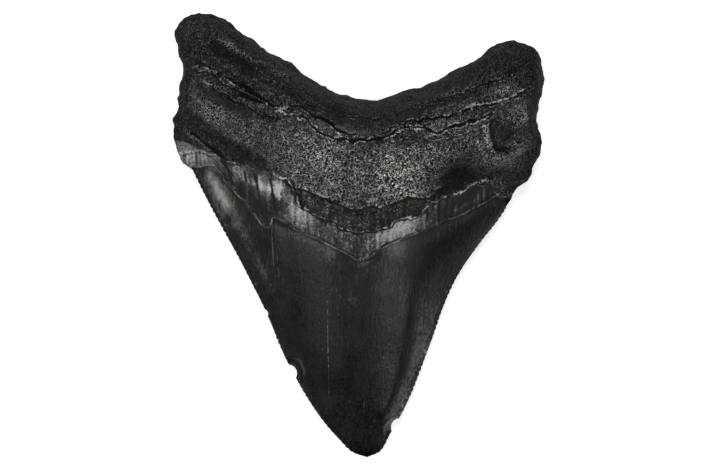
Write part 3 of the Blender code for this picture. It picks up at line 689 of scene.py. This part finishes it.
def enamelMarks(points, lie, onEnamel):  # the fault, the scratches, the facet's painted reflection and the serrated rim with its painted glints
    line, height, fade, edge = marks["fault"]
    distance, ends = alongLine(points, line, [])
    fault = smoothStep(distance, -edge, edge) * (1 - smoothStep(distance, marks["soft"], fade))
    shape = height * fault * smoothStep(ends, 0, fade) * onEnamel
    # the enamel's tones, with painted highlights and painted shade among them
    toneAndPaintedLight = spread(points, marks["enamelTonesAndPaintedLight"]) * onEnamel

    facet = nearest(points, curveThrough(crown["facet"]))
    top = smoothStep(-points[:, 1], *marks["facetTop"])
    onFacet = smoothStep(facet, *marks["facetBorder"]) * top * smoothStep(points[:, 1], *marks["facetFoot"])
    # painted reflection on the facet
    toneAndPaintedLight += onFacet * np.interp(-points[:, 1], *marks["facetPaintedReflection"]) * onEnamel
    toneAndPaintedLight += beside(facet, marks["facetShade"]) * top * onEnamel

    # the rim is darker, with painted glints on its serrations
    average, variation, length, seed = marks["rimDarkeningAndGlints"]
    specks = average + variation * np.maximum(unevenness(points, length, seed), 0)
    toneAndPaintedLight += (1 - smoothStep(lie["edge"], *marks["rimBand"])) * specks * onEnamel
    onLeft = smoothStep(-points[:, 0], *marks["leftShadeFrom"])
    toneAndPaintedLight += beside(lie["edge"], marks["leftShade"]) * onLeft * onEnamel

    width = marks["scratchSoft"] * marks["scratchWidth"]
    for start, end, depth, lighter in marks["scratches"]:
        away = np.abs(nearest(points, np.array([start, end])))
        scratch = bump(away, width) * patchy(points, marks["scratchPatches"])
        shape -= depth * scratch
        toneAndPaintedLight += lighter * scratch
    return shape, toneAndPaintedLight


def chipMarks(points):  # the flaked scars beside the bites, with a painted reflection on their faces and a painted highlight round their rims
    shape, toneAndPaintedLight = np.zeros((2, len(points)))
    width, length, seed = marks["scarRagged"]
    for _, _, middle, radius, lighter in outline["chips"]:
        away = np.hypot(*(points - middle).T) + width * unevenness(points, length, seed) - radius
        shape -= marks["scarDepth"] * (1 - smoothStep(away, *marks["scarEdge"]))
        # painted reflection on a scar's face, painted highlight round its rim
        toneAndPaintedLight += lighter * (1 - smoothStep(away, *marks["scarTintEdge"])) + beside(away, marks["scarBorder"])
    return shape, toneAndPaintedLight


def innerMarks(points, lie):  # what stands above or below the smooth inner face, and the tones, painted highlights and painted shade that go with it
    enamel, crust, flakes = (
        nearest(bent(points, marks[bends]), curveThrough(marks[line]))
        for line, bends in (("enamel", "enamelBends"), ("crust", "crustBends"), ("flakes", "flakeBends"))
    )
    onEnamel = 1 - smoothStep(enamel, -marks["soft"], 0.0)
    onBourlette = smoothStep(enamel, 0, marks["fade"]) * (1 - smoothStep(crust, 0, marks["fade"]))
    bands, bandTint = bandMarks(points, enamel, crust, flakes, onBourlette)
    grooves, groovePaintedShading, calm = grooveMarks(points)
    strokes, strokeTint = strokeMarks(points)
    onCrown, crownTint = enamelMarks(points, lie, onEnamel)
    scars, scarTint = chipMarks(points)
    clear = smoothStep(lie["rim"], *marks["clearOfRim"]) * smoothStep(lie["edge"], *marks["clearOfEdge"])
    shape = (bands + grooves + strokes + onCrown) * clear + scars
    toneAndPaintedLight = bandTint + groovePaintedShading + strokeTint + crownTint + scarTint
    # the bourlette's tones, with its painted sheen
    toneAndPaintedLight += spread(points, marks["bourletteTonesAndPaintedSheen"]) * onBourlette
    return shape, toneAndPaintedLight, enamel, crust, calm


def folded(points, length):  # noise folded into thin winding ridges: 1 on a crest, 0 well off it
    return 1 - smoothStep(np.abs(unevenness(points, length)), 0.0, root["ridgeWidth"])


def toothMesh():  # two sheets joined at the outline, then the lumps, ridges and layers all over them
    line, isRoot, outward = outlinePoints()
    upper, upperFaces = flatSheet(line, isRoot, outward, mesh["rootGrid"], mesh["crownGrid"])
    lower, lowerFaces = flatSheet(line, isRoot, outward, mesh["outerGrid"], mesh["outerGrid"])
    print("sheets laid out:", len(upperFaces), "and", len(lowerFaces), "triangles")
    upperLie, lowerLie = lieOf(upper), lieOf(lower)
    rim = len(line)
    shape, toneAndPaintedLight, enamel, crust, calm = innerMarks(upper, upperLie)
    heights = innerHeight(upper, upperLie) + shape
    floor = outerHeight(upper, upperLie) + crown["leastThickness"] * np.minimum(upperLie["edge"], 1)
    heights = np.maximum(heights, floor)
    heights[:rim] = upperLie["base"][:rim]
    print("inner face marked")

    # both sheets share the outline's points, and the lower one is turned over
    points = np.concatenate([np.c_[upper, heights], np.c_[lower, outerHeight(lower, lowerLie)][rim:]])
    shift = len(upper) - rim
    faces = upperFaces + [[k if k < rim else k + shift for k in face[::-1]] for face in lowerFaces]
    data = bpy.data.meshes.new("fossilTooth")
    data.from_pydata(points.tolist(), [], faces)
    normals = np.empty(len(points) * 3, np.float32)
    data.vertices.foreach_get("normal", normals)
    normals = normals.reshape(-1, 3)

    soft, fade, shoulderFade = marks["soft"], root["lumpsFade"], marks["shoulderFade"]
    outerEnamel = lowerLie["outerEnamel"][rim:]
    innerFade, outerFade = root["ridgesFade"]
    onRoot = np.r_[smoothStep(crust, -soft, innerFade), smoothStep(outerEnamel, 0, outerFade)]
    shoulder = nearest(upper, curveThrough(marks["smoothShoulder"]))
    onRoot[: len(upper)] *= smoothStep(shoulder, -shoulderFade, shoulderFade)
    swelling = np.r_[smoothStep(enamel, 0, fade), smoothStep(outerEnamel, 0, fade)]
    move = np.zeros(len(points))
    for lumps, where in ((root["lumps"], swelling), (crown["lumps"], 1 - swelling)):
        for wavelength, height in lumps:
            move += height * where * unevenness(points, wavelength)
    # gloss, and painted highlights where the lights fall on the root face; the outer sheet stays plain
    glossAndPaintedLight = np.clip(root["plain"] + spread(points[:, :2], root["glossAndPaintedLight"]), *root["glossAndPaintedLightRange"])
    glossAndPaintedLight[: len(upper)] *= 1 - root["grooveCalm"] * calm
    glossAndPaintedLight[len(upper) :] = root["plain"]
    # painted shade: steep sides are darker and duller
    glossAndPaintedLight *= smoothStep(np.abs(normals[:, 2]), *root["steepness"])
    # painted glints along the ridges' crests, read by the root's colour
    paintedRidgeGlints = np.zeros(len(points))
    for wavelength, height, share in root["ridges"]:
        ridges = folded(points, wavelength)
        paintedRidgeGlints += share * ridges
        strength = root["dullRidges"] + (1 - root["dullRidges"]) * glossAndPaintedLight
        move += height * onRoot * strength * (ridges - root["ridgeMiddle"])
    width, length, height = root["layers"]
    alongArch = np.c_[upper[:, 0] / length, upperLie["over"] / width, np.zeros(len(upper))]
    move[: len(upper)] += height * onRoot[: len(upper)] * unevenness(alongArch, 1.0)
    points = points + move[:, None] * normals
    points -= [*(points[:, :2].min(axis=0) + points[:, :2].max(axis=0)) / 2, points[:, 2].min()]
    data.vertices.foreach_set("co", (points * mm).ravel())

    # what the materials read, and which of them each face wears: 0 enamel, 1 bourlette, 2 root
    # the marks' tones, with painted highlights and painted shade in them, go to the materials
    toneAndPaintedLight = np.r_[toneAndPaintedLight, np.zeros(len(points) - len(upper))]
    for name, values in (("toneAndPaintedLight", toneAndPaintedLight), ("paintedRidgeGlints", paintedRidgeGlints), ("glossAndPaintedLight", glossAndPaintedLight)):
        data.attributes.new(name, "FLOAT", "POINT").data.foreach_set("value", values.astype(np.float32))
    kind = np.r_[np.where(enamel < 0, 0, 1), np.where(outerEnamel < 0, 0, 2)]
    kind[: len(upper)][onRoot[: len(upper)] > 0.5] = 2
    kind = np.sort(kind[np.array(faces)], axis=1)[:, 1]  # what most of the face's corners are
    data.polygons.foreach_set("material_index", kind.astype(np.int32))
    data.shade_smooth()
    return data


def linear(hexColour):  # an sRGB hex value as the linear colour that shaders take
    values = [int(hexColour[k : k + 2], 16) / 255 for k in (1, 3, 5)]
    return (*(v / 12.92 if v <= 0.04045 else ((v + 0.055) / 1.055) ** 2.4 for v in values), 1)


def connect(owner, node, inputs):  # each input takes a value, or is linked to another node's output
    for place, value in inputs.items():
        if isinstance(value, bpy.types.NodeSocket):
            owner.node_tree.links.new(value, node.inputs[place])
        else:
            node.inputs[place].default_value = value


def addNode(material, kind, inputs, output=0, stops=(), **settings):  # stops are a ramp's places and colours
    node = material.node_tree.nodes.new("ShaderNode" + kind)
    for name, value in settings.items():
        setattr(node, name, value)
    for k, (place, value) in enumerate(stops):
        stop = node.color_ramp.elements[k] if k < 2 else node.color_ramp.elements.new(place)
        stop.position = place
        stop.color = linear(value) if isinstance(value, str) else (value, value, value, 1)
    connect(material, node, inputs)
    return node.outputs[output]


def perMm(cells):  # a pattern's cells in a millimetre, along X, Y and Z, as its scale
    return [count / mm for count in cells]


def newMaterial(name):  # one with a Principled shader, ready for its nodes
    material = bpy.data.materials.new(name)
    material.use_nodes = True
    return material


def patternsOf(material, look):  # the noises and the mesh's own values that a finish is mixed from
    patterns = {"where": addNode(material, "TexCoord", {}, "Object")}
    for name in look["reads"]:
        patterns[name] = addNode(material, "Attribute", {}, "Fac", attribute_name=name)
    for name, (cells, settings) in look["noises"].items():
        place = addNode(material, "Mapping", {"Vector": patterns["where"], "Scale": perMm(cells)})
        patterns[name] = addNode(material, "TexNoise", {"Vector": place, "Scale": 1, **settings})
    return patterns


def mixed(material, patterns, shares, total=0.0):  # the patterns added up, each times its share
    for name, share in shares.items():
        total = addNode(material, "Math", {0: patterns[name], 1: share, 2: total}, operation="MULTIPLY_ADD")
    return total


def dressed(material, look, colour, roughness, relief):  # what all three finishes end with
    normal = addNode(material, "Bump", {"Distance": look["reliefHeight"] * mm, "Height": relief})
    connect(material, material.node_tree.nodes["Principled BSDF"], {
        "Base Color": colour, "Roughness": roughness, "Normal": normal,
        "IOR": look["ior"], "Specular IOR Level": look["specular"],
    })
    return material


enameloidLook = {
    "reads": ("toneAndPaintedLight",),
    # each noise's cells in a millimetre, along X, Y and Z, and its settings. Growth lines 0.05 mm apart
    # wouldn't show, so the streaks lie 0.3 mm apart.
    "noises": {
        "clouds": ((0.4, 0.25, 0.4), {"Detail": 4, "Roughness": 0.5}),
        "streaks": ((3.0, 0.1, 3.0), {"Detail": 3, "Roughness": 0.65}),
        "grit": ((3.0, 2.0, 3.0), {"Detail": 2}),
    },
    "specks": ((0.8, 0.8, 0.8), [(0.05, 1.0), (0.11, 0.0)]),  # cells, and how each one fades
    "ground": 0.08,  # the tone before any pattern, and below it how much each pattern lightens it
    "tones": {"clouds": 0.25, "streaks": 0.3, "grit": 0.3, "toneAndPaintedLight": 0.5, "specks": 0.15},
    "colours": [(0.30, "#020202"), (0.46, "#080808"), (0.6, "#1c1c1b"), (0.8, "#61615d"), (1.0, "#a8a8a4")],
    "dullness": {"grit": 0.4, "clouds": 0.6},  # what makes it duller, and the roughness that this gives
    "roughness": [(0.35, 0.27), (0.65, 0.42)],
    "relief": {"streaks": 0.7, "grit": 0.5},
    "reliefHeight": 0.08,  # mm
    "ior": 1.63,
    "specular": 0.18,
}


def enameloid():
    # Phosphatised enameloid, naturally polished: near black, with a soft gloss and fine lengthwise streaks
    look = enameloidLook
    material = newMaterial("polished enameloid")
    patterns = patternsOf(material, look)
    cells, fading = look["specks"]
    place = addNode(material, "Mapping", {"Vector": patterns["where"], "Scale": perMm(cells)})
    away = addNode(material, "TexVoronoi", {"Vector": place, "Scale": 1}, "Distance")
    patterns["specks"] = addNode(material, "ValToRGB", {0: away}, stops=fading)
    tone = mixed(material, patterns, look["tones"], look["ground"])
    colour = addNode(material, "ValToRGB", {0: tone}, stops=look["colours"])
    dullness = mixed(material, patterns, look["dullness"])
    roughness = addNode(material, "ValToRGB", {0: dullness}, stops=look["roughness"])
    relief = mixed(material, patterns, look["relief"])
    return dressed(material, look, colour, roughness, relief)


bourletteLook = {
    "reads": ("toneAndPaintedLight",),
    "noises": {
        "streaks": ((2.4, 0.5, 2.4), {"Detail": 4, "Roughness": 0.7}),  # 0.4 mm apart, as fine wrinkles are
        "grit": ((4.5, 2.4, 4.5), {"Detail": 2, "Roughness": 0.8}),
    },
    "gritEdge": [(0.3, 0.0), (0.7, 1.0)],
    "ground": -0.2,
    "tones": {"streaks": 0.8, "grit": 0.5, "toneAndPaintedLight": 0.8},
    "colours": [(0.20, "#0a0a09"), (0.42, "#2a2a28"), (0.60, "#646462"), (0.95, "#d0d0cc")],
    "roughness": [(0.05, 0.8), (0.45, 0.38)],  # dark places are dull
    "relief": {"grit": 0.8},  # on top of the streaks
    "reliefHeight": 0.12,  # mm
    "ior": 1.6,
    "specular": 0.25,
}


def bourlette():
    # Worn dentine between enamel and root: dark grey, satin, wrinkled lengthwise
    look = bourletteLook
    material = newMaterial("bourlette dentine")
    patterns = patternsOf(material, look)
    patterns["grit"] = addNode(material, "ValToRGB", {0: patterns["grit"]}, stops=look["gritEdge"])
    tone = mixed(material, patterns, look["tones"], look["ground"])
    colour = addNode(material, "ValToRGB", {0: tone}, stops=look["colours"])
    roughness = addNode(material, "ValToRGB", {0: tone}, stops=look["roughness"])
    relief = mixed(material, patterns, look["relief"], patterns["streaks"])
    return dressed(material, look, colour, roughness, relief)


rootLook = {
    "reads": ("toneAndPaintedLight", "glossAndPaintedLight", "paintedRidgeGlints"),
    # The real pores are 0.1 mm wide or less, too fine to show, so the folds round them lie 0.4 mm apart.
    "noises": {
        "folds": ((2.6, 2.6, 2.6), {"Detail": 1, "Roughness": 0.5, "Distortion": 0.7}),
        "grit": ((5.0, 5.0, 5.0), {"Detail": 1, "Roughness": 0.8}),
        "patches": ((0.8, 0.8, 0.8), {"Detail": 3, "Roughness": 0.75}),
    },
    "foldCrest": [(0.30, 0.0), (0.5, 1.0), (0.52, 1.0), (0.70, 0.0)],
    "ground": 0.03,
    # the fold crests are painted light, as glints
    "tones": {"grit": 0.28, "folds": 0.68, "toneAndPaintedLight": 0.25},
    "colours": [(0.45, "#030302"), (0.64, "#1a1a0e"), (0.76, "#54544c"), (0.86, "#fcfcf6")],
    # how much of that colour shows: more where the root is painted lighter as highlights, in patches, as
    # painted glints along the ridges and in the marks' painted light
    "level": -1.70,
    "levels": {"patches": 3.0, "paintedRidgeGlints": 0.4},
    "tintLevel": 0.6,
    "leastLevel": 0.07,
    "roughness": [(0.12, 1.0), (0.35, 0.22)],  # lively places are glossy, the rest is dull
    "reliefHeight": 0.05,  # mm
    "ior": 1.6,
    "specular": 0.2,
}


def porousRoot():
    # Phosphatised root dentine, porous: fine winding folds with painted glints on their crests, glossy, with
    # black pits between
    look = rootLook
    material = newMaterial("porous root dentine")
    patterns = patternsOf(material, look)
    toneAndPaintedLight, glossAndPaintedLight = patterns["toneAndPaintedLight"], patterns["glossAndPaintedLight"]
    patterns["folds"] = addNode(material, "ValToRGB", {0: patterns["folds"]}, stops=look["foldCrest"])
    tone = mixed(material, patterns, look["tones"], look["ground"])
    colour = addNode(material, "ValToRGB", {0: tone}, stops=look["colours"])
    # brighter where the root is painted lighter as highlights, and along its ridges as painted glints
    level = mixed(material, patterns, look["levels"], look["level"])
    level = addNode(material, "Math", {0: glossAndPaintedLight, 1: level, 2: glossAndPaintedLight}, operation="MULTIPLY_ADD")
    level = addNode(material, "Math", {0: toneAndPaintedLight, 1: look["tintLevel"], 2: level}, operation="MULTIPLY_ADD")
    level = addNode(material, "Math", {0: level, 1: look["leastLevel"]}, operation="MAXIMUM")
    colour = addNode(material, "VectorMath", {0: colour, 3: level}, operation="SCALE")
    roughness = addNode(material, "ValToRGB", {0: glossAndPaintedLight}, stops=look["roughness"])
    return dressed(material, look, colour, roughness, patterns["folds"])


tooth = bpy.data.objects.new("fossilTooth", toothMesh())
bpy.context.scene.collection.objects.link(tooth)
tooth.location = ((toothLow.x + toothHigh.x) / 2, (toothLow.y + toothHigh.y) / 2, toothLow.z)
for material in (enameloid(), bourlette(), porousRoot()):
    tooth.data.materials.append(material)
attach(tooth, "root")
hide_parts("tooth")
print("tooth made:", len(tooth.data.polygons), "triangles")

studio = {  # in metres, apart from the sensor
    "floorSize": 6.0,
    "floorColour": "#fafafa",
    "floorRoughness": 0.9,
    "floorGlow": 0.65,
    "worldLight": 0.02,
    "cameraHeight": 0.33,
    "cameraAim": (-0.0007, 0.0),
    "sensorWidth": 36,  # mm
    "fieldWidth": 0.1106,  # of what the camera sees, at the height of the tooth's outline
    "outlineHeight": 0.003,
    # each soft box: the side it stands on (degrees round from +X), its angle from overhead, its distance,
    # its width and height, and its radiance, where the table is about 1
    "softBoxes": {
        "key": (90, 25, 0.75, 0.20, 0.20, 13.0),
        "left": (192, 36, 0.75, 0.12, 0.12, 28.0),
        "lowLeft": (211, 52, 0.75, 0.18, 0.18, 4.2),
        "lowRight": (330, 45, 0.75, 0.18, 0.18, 8.0),
        "front": (270, 24, 0.75, 0.18, 0.18, 3.0),
        "right": (0, 22, 0.75, 0.12, 0.12, 6.0),
        "upLeft": (150, 40, 0.75, 0.12, 0.12, 6.0),
    },
}


def whiteCard():
    # Matt white card, lit from below as on a light table, so the tooth hardly shades it
    material = newMaterial("white card")
    connect(material, material.node_tree.nodes["Principled BSDF"], {
        "Base Color": linear(studio["floorColour"]), "Roughness": studio["floorRoughness"],
        "Emission Color": (1, 1, 1, 1), "Emission Strength": studio["floorGlow"],
    })
    return material


floorMesh = bpy.data.meshes.new("table")
half = studio["floorSize"] / 2
corners = [(-half, -half, 0), (half, -half, 0), (half, half, 0), (-half, half, 0)]
floorMesh.from_pydata(corners, [], [(0, 1, 2, 3)])
floor = bpy.data.objects.new("table", floorMesh)
bpy.context.scene.collection.objects.link(floor)
floor.data.materials.append(whiteCard())

world = bpy.data.worlds.new("studio")
world.use_nodes = True
connect(world, world.node_tree.nodes["Background"], {"Color": (1, 1, 1, 1), "Strength": studio["worldLight"]})
bpy.context.scene.world = world

for name, (side, tilt, distance, width, height, radiance) in studio["softBoxes"].items():
    lamp = bpy.data.lights.new(name, "AREA")
    lamp.shape = "RECTANGLE"
    lamp.size, lamp.size_y = width, height
    lamp.energy = radiance * math.pi * width * height
    box = bpy.data.objects.new(name, lamp)
    side, tilt = math.radians(side), math.radians(tilt)
    facing = Vector((math.cos(side) * math.sin(tilt), math.sin(side) * math.sin(tilt), math.cos(tilt)))
    box.location = facing * distance
    box.rotation_euler = facing.to_track_quat("Z", "Y").to_euler()
    bpy.context.scene.collection.objects.link(box)

lens = bpy.data.cameras.new("camera")
lens.sensor_width = studio["sensorWidth"]
lens.lens = studio["sensorWidth"] * studio["cameraHeight"] / studio["fieldWidth"]
camera = bpy.data.objects.new("camera", lens)
camera.location = (*studio["cameraAim"], studio["cameraHeight"] + studio["outlineHeight"])
bpy.context.scene.collection.objects.link(camera)
bpy.context.scene.camera = camera
bpy.context.scene.view_settings.view_transform = "Standard"
print("studio set")
